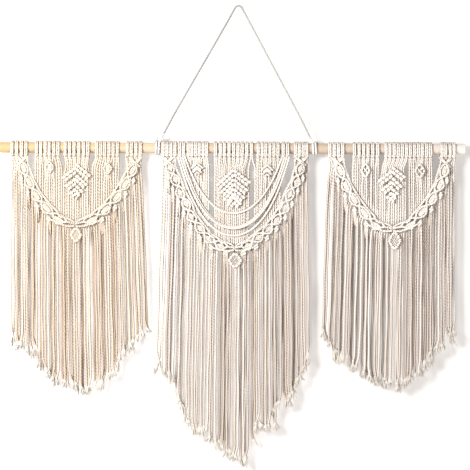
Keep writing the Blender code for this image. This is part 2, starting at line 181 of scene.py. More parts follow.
def cottonFinish(name, colours, g):
    f = Finish("cotton " + name, {"Roughness": 0.92, "Specular IOR Level": 0.25, "Sheen Weight": 0.25})
    lay = f.node("ShaderNodeUVMap", {"uv_map": "lay"}, {})
    tone = f.node("ShaderNodeAttribute", {"attribute_name": "tone"}, {}, output=2)
    place = f.place()
    # painted shade: a cord darkens in the valleys between its plies and on its sides, where it turns from
    # the front towards its neighbours
    facing = f.part(f.node("ShaderNodeNewGeometry", {}, {}, output=1), 1)
    valley = (0.5 - 0.5 * (f.part(lay) * (2 * math.pi)).cos()) ** g["valley"][1]
    edge = (1 - facing * facing) ** g["edge"][1]
    hairs = f.noise(f.stretched(lay, g["hairs"][1]), 3.0, 3.0, 0.65)
    fuzz = f.noise(place, g["fuzz"], 2.0, 0.6)
    patches = f.noise(place, g["patches"][1], 2.0, 0.5)
    # depth: that painted shade, scaled by the cotton's shade and most on dark cords, plus each cord's own
    # tone, hairs and patches
    depth = (valley * g["valley"][0] + edge * g["edge"][0]) * colours["shade"]
    depth = depth * (g["dark"][0] - g["dark"][1] * tone)
    depth = depth + (1 - tone) * g["tone"] + (hairs - 0.5) * g["hairs"][0]
    depth = depth + (patches - 0.5) * g["patches"][0] - g["lift"]
    colour = f.blend(depth.clamped(), colours["light"], colours["deep"])
    f.plug(colour, f.shader.inputs["Base Color"])
    f.bump(1 - valley + g["bumpHairs"] * hairs + g["bumpFuzz"] * fuzz, g["bump"], 0.8)
    return f.material


cottons = {name: cottonFinish(name, colours, cottonGrain) for name, colours in cotton.items()}
print("cotton finishes made")


def runAlong(path):
    # each point's way along the path
    return np.concatenate([[0.0], np.cumsum(np.linalg.norm(np.diff(path, axis=0), axis=1))])


def evened(points, step):
    # points a step apart on a smooth curve through the given ones
    points = np.asarray(points, float)
    ends = np.vstack([2 * points[0] - points[1], points, 2 * points[-1] - points[-2]])
    t = np.linspace(0, 1, 12, endpoint=False)[:, None]
    dense = []
    for a, b, c, d in zip(ends, ends[1:], ends[2:], ends[3:]):
        square, cube = 2 * a - 5 * b + 4 * c - d, 3 * b - a - 3 * c + d
        dense.append(0.5 * (2 * b + t * (c - a) + t**2 * square + t**3 * cube))
    dense = np.vstack([*dense, points[-1:]])
    run = runAlong(dense)
    want = np.linspace(0.0, run[-1], max(2, round(run[-1] / step) + 1))
    return np.stack([np.interp(want, run, dense[:, k]) for k in range(3)], axis=1)


def unit(vector):
    return vector / np.linalg.norm(vector)


def eased(value):
    value = np.clip(value, 0.0, 1.0)
    return value * value * (3 - 2 * value)


def ramp(drop, start, length):
    # from 0 at the start to 1 a length further down, or up where it is negative
    return eased((drop - start) / length)


def bell(drop, middle, width):
    return np.exp(-(((drop - middle) / width) ** 2))


def sidesOf(path):
    # two directions across the path, carried along it without a twist
    ahead = np.gradient(path, axis=0)
    ahead /= np.linalg.norm(ahead, axis=1)[:, None] + 1e-9
    side = np.cross(ahead[0], front)
    if np.linalg.norm(side) < 0.3:
        side = np.cross(ahead[0], (1.0, 0.0, 0.0))
    carried = np.empty_like(path)
    for i, t in enumerate(ahead):
        side = side - t * side.dot(t)
        side = side / math.sqrt(side.dot(side))
        carried[i] = side
    return carried, np.cross(ahead, carried)


plies = {
    "lobes": 3,
    "depth": 0.08,  # of their valleys, as a share of the radius
    "turn": 18.0,  # mm for each turn
    "tones": (1.25, 1.55),  # where no tone is given
}


class Bundle:
    # cords gathered into one mesh, sizes in mm
    def __init__(self, seed):
        self.points, self.quads, self.lays, self.tones = [], [], [], []
        self.count = 0
        self.length = 0.0
        self.dice = np.random.default_rng(seed)

    def jitter(self, amount, size=3):
        return self.dice.normal(0.0, amount, size)

    def add(self, path, radius, sides=8, tone=None):
        # six or twelve sides take the plies' own twist; others leave it to the finish
        path = np.asarray(path, float)
        rings, lobes = len(path), plies["lobes"]
        turned = sides % (2 * lobes) == 0
        carried, across = sidesOf(path)
        run = runAlong(path)
        turns = run / plies["turn"] + self.dice.uniform(0, 1)
        radius = np.interp(np.linspace(0, 1, rings), np.linspace(0, 1, np.size(radius)), np.ravel(radius))
        share = np.arange(sides) / sides
        angle = 2 * math.pi * (share[None, :] + (turns[:, None] if turned else 0.0))
        swell = 1 + (plies["depth"] * np.cos(2 * math.pi * lobes * share) if turned else np.zeros(sides))
        size = radius[:, None] * swell[None, :]
        ring = carried[:, None, :] * np.cos(angle)[..., None]
        ring = ring + across[:, None, :] * np.sin(angle)[..., None]
        self.points.append((path[:, None, :] + ring * size[..., None]).reshape(-1, 3))

        i, j = np.meshgrid(np.arange(rings - 1), np.arange(sides), indexing="ij")
        nextJ = (j + 1) % sides
        wall = [i * sides + j, i * sides + nextJ, (i + 1) * sides + nextJ, (i + 1) * sides + j]
        q = np.arange(sides // 2 - 1)
        cap = np.stack([q, q + 1, sides - 2 - q, sides - 1 - q], axis=-1)
        caps = np.vstack([cap[:, ::-1], cap + (rings - 1) * sides])
        self.quads.append(np.vstack([np.stack(wall, axis=-1).reshape(-1, 4), caps]) + self.count)

        twist = -lobes * turns * (0 if turned else 1)
        low, high = lobes * j / sides, lobes * (j + 1) / sides
        corners = [(low, i), (high, i), (high, i + 1), (low, i + 1)]
        lay = np.stack([np.stack([ply + twist[row], run[row]], -1) for ply, row in corners], axis=-2)
        self.lays.append(np.vstack([lay.reshape(-1, 2), np.zeros((caps.size, 2))]))

        if tone is None:
            tone = self.dice.uniform(*plies["tones"])
        self.tones.append(np.repeat(np.broadcast_to(tone, rings), sides))
        self.count += rings * sides
        self.length += run[-1]

    def finish(self, name, finish, nodes, slot="macrame_cord"):
        points = np.concatenate(self.points) * mm
        quads = np.concatenate(self.quads)
        mesh = bpy.data.meshes.new(name)
        mesh.vertices.add(len(points))
        mesh.vertices.foreach_set("co", points.ravel())
        mesh.loops.add(quads.size)
        mesh.loops.foreach_set("vertex_index", quads.ravel())
        mesh.polygons.add(len(quads))
        mesh.polygons.foreach_set("loop_start", np.arange(0, quads.size, 4))
        mesh.uv_layers.new(name="lay").data.foreach_set("uv", np.concatenate(self.lays).ravel())
        mesh.attributes.new("tone", "FLOAT", "POINT").data.foreach_set("value", np.concatenate(self.tones))
        mesh.update(calc_edges=True)
        mesh.shade_smooth()
        mesh.materials.append(finish)
        piece = linked(name, mesh)
        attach(piece, "root")
        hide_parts(*nodes)
        print(f"{name}: {2 * len(quads)} triangles, {self.length / 1000:.2f} m of cord")
        return piece


dowel = {"drop": 270.0, "radius": 10.0}

# middle: x of the panel's middle in the frame
# heads: left and right end of each run of lark's heads, and their number
# swagHeads: the same for those that only carry the swags
# band: x and drop of each diamond's middle, heading to tip
# tip: drop of the band's lowest point
# windows: left and right edge of the gaps that stay open above the band
# rib, apex: x of the leaf's middle line and drop of its top
# leafRows: on each side, drop where the row leaves the rib, then x and drop of its outer end
# motifs: x, drop, half width, half height
# pendant: x, drop, half width, half height
# slots: x at the heading and width of the gaps that part the fringe
# hem: x and drop of the fringe's lower edge
panels = {
    "left": {
        "middle": -307.8,
        "heads": [
            (-125.0, -89.0, 4), (-78.0, -29.0, 6), (-24.0, 28.0, 6), (36.0, 83.0, 6), (94.0, 127.0, 4),
        ],
        "band": {
            "left": [(-97, 40), (-87, 66), (-73, 92), (-54, 115), (-31, 137)],
            "right": [(107, 43), (94, 69), (78, 93), (56, 118), (31, 137)],
        },
        "tip": 146,
        "windows": [(-88.5, -78.5), (84.0, 93.5)],
        "rib": 2,
        "apex": 31,
        "leafRows": {
            "left": [(42.5, -23, 62), (64, -17, 78), (84, -9.5, 92)],
            "right": [(37, 27, 58), (57.5, 20.5, 75), (77.5, 12.5, 88.5), (91.5, 6, 96)],
        },
        "motifs": {"left": (-49, 38, 8.5, 10.7), "right": (61, 40, 8.5, 10.7)},
        "pendant": (2, 166, 10.5, 14.5),
        "slots": [
            (-107, 2.5), (-89, 3.0), (-70, 2.5), (-52, 2.5), (-33, 3.5), (-13, 2.5),
            (6, 2.5), (25, 3.5), (45, 2.5), (65, 2.5), (86, 3.0), (106, 2.5),
        ],
        "hem": [
            (-125, 357), (-118, 385), (-78, 394), (-72, 418), (-50, 439), (-21, 459),
            (17, 471), (45, 461), (79, 431), (93, 394), (114, 376), (142, 347),
        ],
    },
    "centre": {
        "middle": -5.3,
        "heads": [
            (-140.0, -110.0, 4), (-92.6, -50.0, 6), (-41.0, 35.0, 9), (40.0, 85.0, 6), (111.0, 140.0, 4),
        ],
        "swagHeads": [(-108.8, -93.8, 2), (87.6, 103.4, 2)],
        "band": {
            "left": [
                (-122, 38), (-112, 60), (-103, 85), (-91, 106),
                (-82, 130), (-65, 152), (-50, 171), (-26, 185),
            ],
            "right": [
                (122, 39), (115, 64), (103, 87), (94, 113),
                (78, 136), (63, 153), (44, 169), (24, 184),
            ],
        },
        "tip": 190,
        "windows": [(-102.0, -94.0), (-48.0, -40.0), (28.0, 36.0), (88.0, 97.0)],
        "rib": -2,
        "apex": 40,
        "leafRows": {
            "left": [(46, -32, 75), (64, -25, 89), (82, -18, 102), (98, -11, 112)],
            "right": [(46, 28, 69.5), (64, 23, 84.5), (82, 17, 98.5), (98, 10, 110)],
        },
        "motifs": {"left": (-71.5, 40, 10.5, 11.5), "right": (61, 43, 10.5, 11.5)},
        "pendant": (1, 213, 12.5, 14.5),
        "slots": [
            (-121, 7.0), (-104, 2.5), (-87, 2.5), (-68, 3.0), (-50, 2.5), (-27, 8.0),
            (-8, 2.5), (12, 2.5), (32, 7.0), (51, 2.5), (69, 3.0), (88, 2.5), (106, 2.5), (123, 3.0),
        ],
        "hem": [
            (-152, 409), (-143, 428), (-113, 455), (-108, 485), (-90, 522), (-79, 553), (-52, 539),
            (-43, 568), (-26, 572), (-13, 587), (13, 601), (29, 597), (40, 539), (82, 536),
            (85, 494), (99, 490), (117, 460), (138, 421), (148, 386),
        ],
    },
    "right": {
        "middle": 293.9,
        "heads": [(-124.0, -91.0, 4), (-77.0, -25.0, 6), (-17.0, 75.0, 12), (89.0, 119.0, 4)],
        "band": {
            "left": [(-99, 42), (-88, 71), (-73, 96), (-53, 122), (-31, 145)],
            "right": [(96, 41), (88, 68), (73, 95), (55, 119), (32, 144)],
        },
        "tip": 152,
        "windows": [(-89.0, -78.0), (26.5, 29.5), (76.0, 87.0)],
        "rib": -1,
        "apex": 35,
        "leafRows": {
            "left": [(46.5, -26, 66), (67, -19.5, 83), (88, -10, 97)],
            "right": [(39.5, 22, 58), (60, 15.5, 76), (80.5, 9, 89.5), (94.5, 5, 98.5)],
        },
        "motifs": {"left": (-52, 41, 8.5, 12.5), "right": (51, 42, 9.5, 13)},
        "pendant": (4, 174, 11.5, 17.5),
        "slots": [
            (-106, 2.5), (-88, 3.0), (-70, 2.5), (-51, 2.5), (-32, 3.5), (-13, 2.5),
            (7, 2.5), (27, 4.0), (46, 2.5), (65, 2.5), (83, 3.0), (101, 2.5),
        ],
        "hem": [
            (-135, 345), (-125, 377), (-110, 404), (-73, 421), (-44, 446), (-5, 454),
            (13, 460), (28, 450), (51, 437), (73, 405), (82, 395), (104, 371), (121, 353),
        ],
    },
}


def at(panel, x, drop, y):
    # a panel's own place as x, y and z in mm
    return np.array([panel["middle"] + x, y, -dowel["drop"] - drop])


sling = {
    "thick": 4.2,
    "step": 1.5,
    "legShadeTones": (-1.0, -0.4),  # left and right, painted shade that makes them darker than the lashings, the left leg most
    "legsMeet": 20.0,  # they blend as far either side of the hook
    "lashTone": 1.2,
    "toneChange": (24.0, -12.0),  # height over the axis where it begins, and how far on
    "lashing": {"left": -153.8, "right": 146.4},  # x of the middle of each lashing
    "turns": 2,
    "turnPoints": 14,
    "pitch": 5.2,  # from turn to turn
    "slack": 0.2,  # between the dowel and the turns
    # x and z, from the left foot to the right
    "route": [
        (-145.5, -246.2), (-122.4, -208.0), (-98.9, -166.6), (-75.2, -125.2), (-51.5, -83.8),
        (-28.0, -42.3), (-16.5, -21.8), (-10.4, -10.4), (-8.1, -6.4), (-6.5, -3.3), (-3.7, -0.6),
        (0.0, 0.5), (3.7, -0.6), (6.5, -3.3), (8.1, -6.5), (10.5, -10.8), (16.4, -22.1), (28.2, -43.8),
        (50.7, -85.8), (73.3, -127.7), (95.9, -169.6), (118.4, -211.6), (141.5, -254.1),
    ],
}
slingKnot = {
    "place": (-148.5, -1.0, 16.6),  # x, y and height over the dowel's axis
    "thick": 3.8,
    "turns": [(0.5, -2.6), (-0.4, 0.6), (0.6, 3.6)],  # slant and shift of each
    "turnSize": (3.0, 3.6, 3.2),
    # x, y and z of the short ends, from the knot's middle
    "ends": [
        [(-1, 0, 0), (-6, -2, 1.5), (-10, -4, 4.5), (-12, -5, 9)],
        [(1, -2, 1), (4, -5, 4), (6, -7, 8), (9, -8, 10)],
        [(-3, -2, -1), (-8, -5, -1.5), (-11, -7, -5)],
    ],
    "endRadii": (1.9, 1.9, 1.8, 1.2),  # towards the cut
}


def lashingTurns(s, side):
    # round the dowel, from its top and down the front
    reach = dowel["radius"] + s["thick"] / 2 + s["slack"]
    middle = s["lashing"][side]
    lean = 1 if side == "left" else -1
    turns = []
    count = s["turnPoints"] * s["turns"]
    for k in range(count + 1):
        angle = 2 * math.pi * s["turns"] * k / count
        x = middle + lean * s["pitch"] * (s["turns"] / 2 - s["turns"] * k / count)
        turns.append((x, -reach * math.sin(angle), -dowel["drop"] + reach * math.cos(angle)))
    return turns


def makeSling(s):
    route = [(x, 0.0, z) for x, z in s["route"]]
    # each foot runs straight on to the front of the dowel
    left = lashingTurns(s, "left")[1:]
    right = lashingTurns(s, "right")[1:]
    path = evened([*reversed(left), *route[1:-1], *right], s["step"])
    cords = Bundle(11)
    # painted shade: the legs take darker tones, blending to the lashings' tone on the dowel
    onDowel = ramp(path[:, 2] + dowel["drop"], *s["toneChange"])
    legShadeTone = np.interp(path[:, 0], (-s["legsMeet"], s["legsMeet"]), s["legShadeTones"])
    cords.add(path, s["thick"] / 2, sides=12, tone=legShadeTone + (s["lashTone"] - legShadeTone) * onDowel)
    nodes = ["hanging_cord", "lashing_left", "lashing_right"]
    piece = cords.finish("hanging_rope", cottons["sling"], nodes, "sling_cord")


def makeSlingKnot(s, tone):
    # an overhand knot at the left lashing, with its short ends
    x, y, up = s["place"]
    middle = np.array([x, y, -dowel["drop"] + up])
    wide, deep, tall = s["turnSize"]
    cords = Bundle(12)
    for k, (slant, shift) in enumerate(s["turns"]):
        turn = np.linspace(0, 2 * math.pi, 20)
        ring = [shift + slant * wide * np.cos(turn), -deep * np.cos(turn), tall * np.sin(turn)]
        cords.add(middle + np.stack(ring, axis=1), s["thick"] / 2, sides=6, tone=tone - 0.1 * k)
    for end in s["ends"]:
        cords.add(middle + evened(end, 1.4), s["endRadii"], sides=6, tone=tone)
    cords.finish("hanging_rope_knot", cottons["sling"], ["sling_knot"], "sling_cord")


makeSling(sling)
makeSlingKnot(slingKnot, sling["lashTone"])


swags = {
    "thick": 3.9,
    "step": 1.6,
    "tone": 1.05,
    "top": 15.8,  # drop of their ends under the heading
    "depth": -11.4,
    # x of both ends, drop of the lowest point, how far forward the middle stands
    "rows": [
        (-95.4, 89.6, 123.5, 0.0), (-99.8, 94.0, 150.0, 0.0),
        (-104.2, 98.4, 152.5, 4.4), (-108.6, 102.8, 166.0, 0.0),
    ],
}


def catenaryScale(halfSpan, sag):
    # halves the range until the curve hangs as deep as the sag
    low, high = halfSpan / 20, halfSpan * 50
    for _ in range(60):
        middle = (low + high) / 2
        if middle * (math.cosh(halfSpan / middle) - 1) > sag:
            low = middle
        else:
            high = middle
    return middle


def makeSwag(s, number, left, right, low, forward):
    panel = panels["centre"]
    halfSpan, sag = (right - left) / 2, low - s["top"]
    scale = catenaryScale(halfSpan, sag)
    halfLength = math.sqrt(sag * sag + 2 * sag * scale)
    count = 2 * round(halfLength / s["step"])
    path = []
    for i in range(count + 1):
        along = halfLength * (2 * i / count - 1)
        height = math.sqrt(scale * scale + along * along) - scale
        x = math.copysign(scale * math.acosh(1 + height / scale), along)
        out = forward * math.sqrt(max(0.0, math.cos(math.pi / 2 * x / halfSpan)))
        path.append(at(panel, (left + right) / 2 + x, low - height, s["depth"] - out))
    path = np.array(path)
    cords = Bundle(20 + number)
    cords.add(path, s["thick"] / 2, sides=12, tone=s["tone"])
    piece = cords.finish(f"swag_cord_{number}", cottons["centre"], [f"swag_{number}"])


for number, row in enumerate(swags["rows"], 1):
    makeSwag(swags, number, *row)


heads = {
    "thick": 3.6,
    "apart": 1.55,  # from a head's middle to its two wraps
    "step": 1.8,
    "tones": (1.0, 1.35),
    "uneven": 0.4,  # from its even place
    "lean": 0.3,
    "tail": [(19.5, -4.6), (16.5, -5.8), (13.2, -4.8)],  # drop and y of a wrap's sunk start
    "wrap": (-8, 25, 60, 95, 130, 165, 200, 235, 262),  # degrees from under the dowel, up its back
    "bar": 15.0,  # drop of the loop that the wraps pass through
    "barDepth": -11.6,
    "barStep": 1.3,
    # aside in half widths and mm, drop and y from the bar
    "barShape": [
        (-1, -0.6, -2.4, 1.7), (-1, 0, -0.5, -0.4), (0, 0, 0.3, -0.9),
        (1, 0, -0.5, -0.4), (1, 0.6, -2.4, 1.7),
    ],
}


def headCentres(dice, runs):
    centres = []
    for left, right, count in runs:
        pitch = (right - left) / count
        for i in range(count):
            centres.append(left + (i + 0.5) * pitch + dice.uniform(-heads["uneven"], heads["uneven"]))
    return centres


def larksHead(cords, panel, x, h):
    # from the strand up the back, over the top, down the front and into the bar
    reach = dowel["radius"] + h["thick"] / 2 + 0.1
    lean = cords.jitter(h["lean"], 2)
    tone = cords.dice.uniform(*h["tones"])
    for sign, tilt in zip((-1, 1), lean):
        side = x + sign * h["apart"]
        half = [at(panel, side, drop, y) for drop, y in h["tail"]]
        for degrees in h["wrap"]:
            a = math.radians(degrees)
            half.append(at(panel, side + tilt * 0.3, reach * math.cos(a), reach * math.sin(a)))
        half.append(at(panel, side + tilt, 7.0, -reach - 0.1))
        half.append(at(panel, side + 0.2 * tilt, h["bar"] - 3.4, h["barDepth"] + 0.3))
        half.append(at(panel, side, h["bar"] + 0.4, h["barDepth"] + 1.8))
        cords.add(evened(half, h["step"]), h["thick"] / 2 + cords.jitter(0.04, 1)[0], sides=6, tone=tone)
    # the bar is the loop's bend, across the front under the dowel
    bar = []
    for side, more, drop, y in h["barShape"]:
        sag = lean[0] if side == 0 else 0.0
        place = x + side * (h["apart"] + 0.25) + more
        bar.append(at(panel, place, h["bar"] + drop + sag, h["barDepth"] + y))
    cords.add(evened(bar, h["barStep"]), h["thick"] / 2, sides=6, tone=tone)


def makeHeads(name, panel, h):
    cords = Bundle(30 + len(name))
    for x in panel["centres"] + panel["swagCentres"]:
        larksHead(cords, panel, x, h)
    nodes = [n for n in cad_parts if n.startswith("heading_" + name)]
    cords.finish("larks_heads_" + name, cottons[name], nodes)


for name, panel in panels.items():
    dice = np.random.default_rng(len(name))
    panel["centres"] = headCentres(dice, panel["heads"])
    panel["swagCentres"] = headCentres(dice, panel.get("swagHeads", []))
    makeHeads(name, panel, heads)


strands = {
    "thick": 4.6,
    "step": 2.15,
    "start": 15.0,  # drop of their upper ends
    "depth": -6.9,
    "depthSpread": 2.0,  # of one strand before or behind the next, below the band
    "alternate": 2.7,  # of every second one behind the others
    "slotShare": 0.5,  # of each parting that stays open; a strand stands back in it
    "standBack": 3.0,
    "pressedBack": 3.2,  # how far the band presses them back
    "sway": 0.57,  # sideways waves near the hem
    "waves": (21, 47, 33),  # mm per radian, two sideways and one in depth
    "drift": 0.95,  # how unevenly they hang below the band
    "splay": 2.4,  # of their cut ends
    "forward": 3.5,  # the same to the front
    "ragged": 3.5,  # how unevenly they are cut
    "cutMost": 20.0,
    "outer": 8,  # strands at each side in the band's first diamond
    "pulls": (0.66, 0.28, 0.16),  # of that diamond, a motif and the leaf on them
    "tones": (-0.2, 1.0),
    "slotShade": 0.6,  # painted shade: how much darker a strand standing back in a slot is
    "ends": (1.05, 1.1, 1.05, 0.8),  # shares of the radius at the last points
    # drop where each begins, and over how many mm
    "spreading": (17, 24),
    "leaving": (24, 20),
    # the same from the band
    "reaching": (-22, -14),
    "evening": (-8, 26),
    "freeing": (7, 22),
    "shadeSpread": (0, 19),
    "drifting": (0, 60),
    # the same from the cut end
    "splaying": (-26, 26),
    "lifting": (-22, 22),
}
fray = {
    "locks": 12,  # plies that open out of each cut end
    "length": (9.0, 18.0),
    "spread": (1.2, 5.4),
    "radii": 1.05 * np.array([1.0, 1.15, 1.1, 1.0, 0.8, 0.35]),  # from the strand to the tip
    "curl": 4.2,
    "below": 11.0,  # the cut
    "sunk": 3.5,  # into the strand
    "around": 1.1,
    "tones": (0.7, 1.3),
}


def lineAt(line, x):
    return float(np.interp(x, [p[0] for p in line], [p[1] for p in line]))


def bandLine(panel):
    return [*panel["band"]["left"], (0, panel["tip"]), *reversed(panel["band"]["right"])]


def evenFeet(panel, count):
    # feet evenly along the hem but for the slots
    hem, runs = panel["hem"], panel["heads"]
    left, right = runs[0][0], runs[-1][1]
    scale = (hem[-1][0] - hem[0][0]) / (right - left)
    slotFeet = []
    for x, width in panel["slots"]:
        slotFeet.append((hem[0][0] + (x - left) * scale, width * strands["slotShare"]))
    pitch = (hem[-1][0] - hem[0][0] - 4 - sum(width for _, width in slotFeet)) / count
    feet, back, x = [], [], hem[0][0] + 2 + pitch / 2
    for _ in range(count):
        back.append(0.0)
        while slotFeet and x + pitch / 2 > slotFeet[0][0]:
            x += slotFeet.pop(0)[1]
            back[-1] = 1.0
        feet.append(x)
        x += pitch
    tops = [left + (foot - hem[0][0]) / scale for foot in feet]
    return feet, tops, back


def evenBunches(panel, tops):
    # above the band, evenly between one window and the next
    windows = panel["windows"]
    edges = [(a, b) for (_, a), (b, _) in zip(windows, windows[1:])]
    bunches = [[] for _ in range(len(windows) + 1)]
    for top in tops:
        bunches[sum(top > (a + b) / 2 for a, b in windows)].append(top)
    spread = list(bunches[0])
    for bunch, (left, right) in zip(bunches[1:], edges):
        pitch = (right - left - 1.0) / len(bunch)
        spread += [left + 0.5 + (i + 0.5) * pitch for i in range(len(bunch))]
    return spread + bunches[-1]


def strandPath(panel, s, dice, place, top, spread, even, foot, back):
    cut = abs(dice.normal(0, s["ragged"])) + fray["below"]
    hemDrop = lineAt(panel["hem"], foot) - min(cut, s["cutMost"])
    drop = np.linspace(s["start"], hemDrop, round((hemDrop - s["start"]) / s["step"]))
    share = (drop - s["start"]) / (hemDrop - s["start"])
    bandDrop = lineAt(bandLine(panel), spread)
    fromBand, fromEnd = drop - bandDrop, drop - hemDrop
    x = top + (spread - top) * ramp(drop, *s["spreading"])
    x += (even + (foot - even) * share - x) * ramp(fromBand, *s["evening"])
    edge = min(place, panel["count"] - 1 - place)
    if edge < s["outer"]:
        # drawn into the band's first diamond, the three outermost hardly
        first = panel["band"]["left" if place == edge else "right"][0][0]
        x += (first - x) * (s["pulls"][0] if edge > 2 else 0.1 + 0.1 * edge) * bell(drop, 33, 9.5)
    for gx, gDrop, _, gHigh in panel["motifs"].values():
        if abs(spread - gx) < 10:
            pinch = bell(drop, gDrop - gHigh, 6) + bell(drop, gDrop + gHigh + 3, 9)
            x += (gx - x) * s["pulls"][1] * np.minimum(pinch, 1)
    if abs(spread - panel["rib"]) < 26:
        x += (panel["rib"] - x) * s["pulls"][2] * bell(drop, panel["apex"] + 4, 14)
    phases = dice.uniform(0, 2 * math.pi, 3)
    wave, slowWave, deepWave = [np.sin(drop / wide + phase) for wide, phase in zip(s["waves"], phases)]
    x += s["sway"] * (0.3 + 0.7 * share) * ramp(drop, s["start"], 40) * (wave + slowWave)
    x += dice.normal(0, s["drift"]) * ramp(fromBand, *s["drifting"])
    x += dice.normal(0, s["splay"]) * ramp(fromEnd, *s["splaying"]) ** 2
    free = ramp(fromBand, *s["freeing"])
    held = ramp(fromBand, *s["reaching"]) * ramp(drop, *s["leaving"])
    apart = dice.uniform(-1, 1) * s["depthSpread"] + (place % 2 - 0.5) * s["alternate"]
    y = s["depth"] + apart * (free + 0.5 * held) + back * s["standBack"] * free
    y += s["pressedBack"] * bell(fromBand, 0, 12) + 0.5 * deepWave * free
    y -= dice.uniform(0, s["forward"]) * ramp(fromEnd, *s["lifting"]) ** 2
    return np.stack([panel["middle"] + x, y, -dowel["drop"] - drop], axis=1)


def frayEnd(tips, path, f):
    down = unit(path[-1] - path[-5])
    right = np.cross(down, front)
    turn = tips.dice.uniform(0, 2 * math.pi)
    curl = tips.jitter(f["curl"])
    for k in range(f["locks"]):
        angle = turn + 2 * math.pi * k / f["locks"]
        out = right * math.cos(angle) + front * math.sin(angle)
        long, wide = tips.dice.uniform(*f["length"]), tips.dice.uniform(*f["spread"])
        bend = curl * 0.6 + tips.jitter(1.3)
        bend[1] = min(bend[1], 0.5)
        t = np.linspace(0, 1, len(f["radii"]))[:, None]
        start = path[-1] - down * f["sunk"]
        lock = start + out * (f["around"] + wide * t**0.8) + down * long * t + bend * t**2
        tips.add(lock, f["radii"], sides=4, tone=tips.dice.uniform(*f["tones"]))


def makeStrands(name, panel, s, f):
    cords, tips = Bundle(50 + len(name)), Bundle(60 + len(name))
    tops = [x + sign * heads["apart"] for x in panel["centres"] for sign in (-1, 1)]
    panel["count"] = len(tops)
    feet, evens, backs = evenFeet(panel, len(tops))
    spreads = evenBunches(panel, tops)
    for place, row in enumerate(zip(tops, spreads, evens, feet, backs)):
        path = strandPath(panel, s, cords.dice, place, *row)
        radii = np.ones(len(path))
        radii[-len(s["ends"]):] = s["ends"]
        tone = cords.dice.uniform(*s["tones"]) - s["slotShade"] * row[-1]
        # below the band their tones spread further: random tone, and painted shade where the darker ones
        # stand for strands shaded behind the others
        bandDrop = lineAt(bandLine(panel), row[1])
        low = ramp(-path[:, 2] - dowel["drop"] - bandDrop, *s["shadeSpread"])
        tone = 1.0 + (tone - 1.0) * (0.45 + 0.55 * low)
        cords.add(path, s["thick"] / 2 * radii * (1 + cords.jitter(0.03, 1)[0]), sides=6, tone=tone)
        frayEnd(tips, path, f)
    sheet = cords.finish("strand_curtain_" + name, cottons[name], ["strands_" + name])
    fringe = tips.finish("frayed_ends_" + name, cottons["frayed"], [])


for name, panel in panels.items():
    makeStrands(name, panel, strands, fray)


knots = {
    "half": 1.6,  # half way across the row
    "rise": 1.9,  # how far a loop stands over its holding cord
    "thick": 4.0,
    "core": 0.42,  # radius of the holding cord, as a share of that
    "pitch": 4.1,  # from loop to loop
    "pair": 0.5,  # how much closer a hitch's two loops lie
    "slant": 0.8,
    "turn": 112,  # degrees from a loop's front to its ends
    "flat": 0.8,
    "uneven": 0.08,
    "depth": -11.9,
}
smallKnots = dict(knots, half=0.95, rise=1.8, thick=2.8, pitch=2.95, pair=0.12, slant=0.5)
pendantKnots = dict(smallKnots, half=1.3, thick=3.3, pitch=3.5, pair=0.3, rise=2.2)


def loop(cords, centre, along, k, slant):
    # one turn of a half hitch, flattened where it crosses the row
    across = np.cross(along, front)
    a = np.radians(np.linspace(-k["turn"], k["turn"], 9))[:, None]
    wide = np.sign(np.sin(a)) * np.abs(np.sin(a)) ** k["flat"]
    path = centre + across * k["half"] * wide + front * k["rise"] * np.cos(a) + along * slant * np.sin(a)
    cords.add(path + cords.jitter(k["uneven"]), k["thick"] / 2 * cords.dice.uniform(0.95, 1.05), sides=8)


def knotLine(cords, corners, k, lean=1, trim=0.0):
    # double half hitches side by side over a holding cord
    line = evened(corners, 1.0)
    run = runAlong(line)
    pairs = max(1, round((run[-1] - 2 * trim) / k["pitch"] / 2))
    pitch = (run[-1] - 2 * trim) / pairs / 2
    for i in range(2 * pairs):
        want = trim + pitch * (i + 0.5) + k["pair"] * (1 if i % 2 == 0 else -1)
        centre = np.array([np.interp(want, run, line[:, c]) for c in range(3)])
        step = min(max(int(np.searchsorted(run, want)), 1), len(line) - 1)
        loop(cords, centre, unit(line[step] - line[step - 1]), k, lean * k["slant"])
    cords.add(evened(corners, 3.0), k["thick"] * k["core"], sides=6)


plait = {
    "taper": 0.72,  # towards its ends
    "stroke": 0.56,  # half its length, as a share of the half width
    "aside": 0.48,  # the same for its middle's place
    "lean": 1.1,
    "rise": 1.7,
    "droop": 1.9,  # of a stroke's ends
    "tones": (0.9, 1.2),
}


def braid(cords, centre, along, halfWide, halfTall, rows):
    # two columns of short slanting strokes, narrower at both ends
    across = np.cross(along, front)
    pitch = 2 * halfTall / rows
    t = np.linspace(-1, 1, 6)[:, None]
    for k in range(rows):
        shift = (k - (rows - 1) / 2) * pitch
        wide = halfWide * math.sqrt(1 - plait["taper"] * (shift / halfTall) ** 2)
        for sign in (-1, 1):
            aside = sign * (wide * plait["aside"] + wide * plait["stroke"] * t)
            stroke = centre + across * aside + along * (shift - plait["lean"] * t)
            stroke = stroke + front * (plait["rise"] - plait["droop"] * t**2) + cords.jitter(0.08)
            cords.add(stroke, pitch * 0.5, sides=8, tone=cords.dice.uniform(*plait["tones"]))


def woven(cords, centre, along, halfWide, halfTall, count, thick, tone=None):
    # cords plaited over and under, corner to corner
    across = np.cross(along, front)
    v = np.linspace(-1, 1, 4 * count + 1)
    for turned in (False, True):
        for i in range(count):
            u = (i + 0.5) / count * 2 - 1
            a, b = (v, np.full_like(v, u)) if turned else (np.full_like(v, u), v)
            wave = np.cos(math.pi * ((v + 1) / 2 * count - 0.5 + i)) * (1 if turned else -1)
            x, z = (a - b) / 2 * halfWide, (a + b) / 2 * halfTall
            path = centre + across * x[:, None] + along * z[:, None] + front * (0.9 + 0.7 * wave)[:, None]
            cords.add(path, thick / 2, sides=6, tone=tone)


